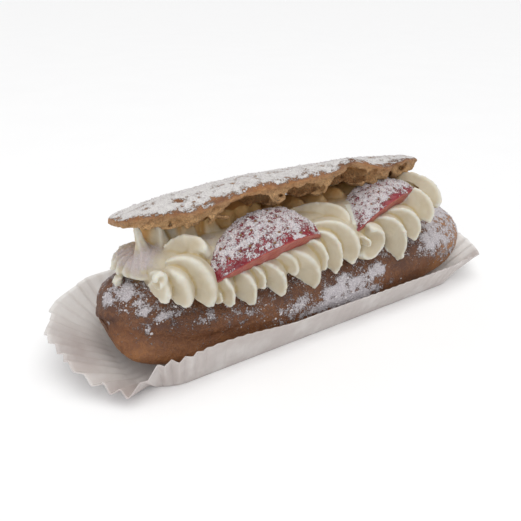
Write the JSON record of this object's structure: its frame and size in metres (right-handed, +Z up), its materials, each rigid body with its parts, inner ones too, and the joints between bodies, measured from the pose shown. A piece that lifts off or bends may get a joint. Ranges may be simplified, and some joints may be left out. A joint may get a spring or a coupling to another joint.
{
  "type": "cream eclair",
  "caption": "Split choux eclair in a pleated paper case, filled with a piped coil of cream and strawberry wedges, its cap leaning open towards the front.",
  "frame": {"origin": "middle of the paper case's footprint, on the surface it stands on", "axes": "+X along the eclair, -Y towards the open front where the strawberries show, +Z up"},
  "size_m": [0.1661, 0.0582, 0.0515],
  "materials": {
    "paper": "matt greaseproof paper",
    "crust": "baked crust",
    "cream": "soft sheen of whipped cream",
    "strawberry": "moist fruit",
    "cap_crust": "baked crust"
  },
  "bodies": {
    "root": {"paper_case": "paper", "choux_bun": "crust", "piped_cream": "cream", "strawberry_left": "strawberry", "strawberry_right": "strawberry", "choux_cap": "cap_crust"}
  },
  "joints": []
}
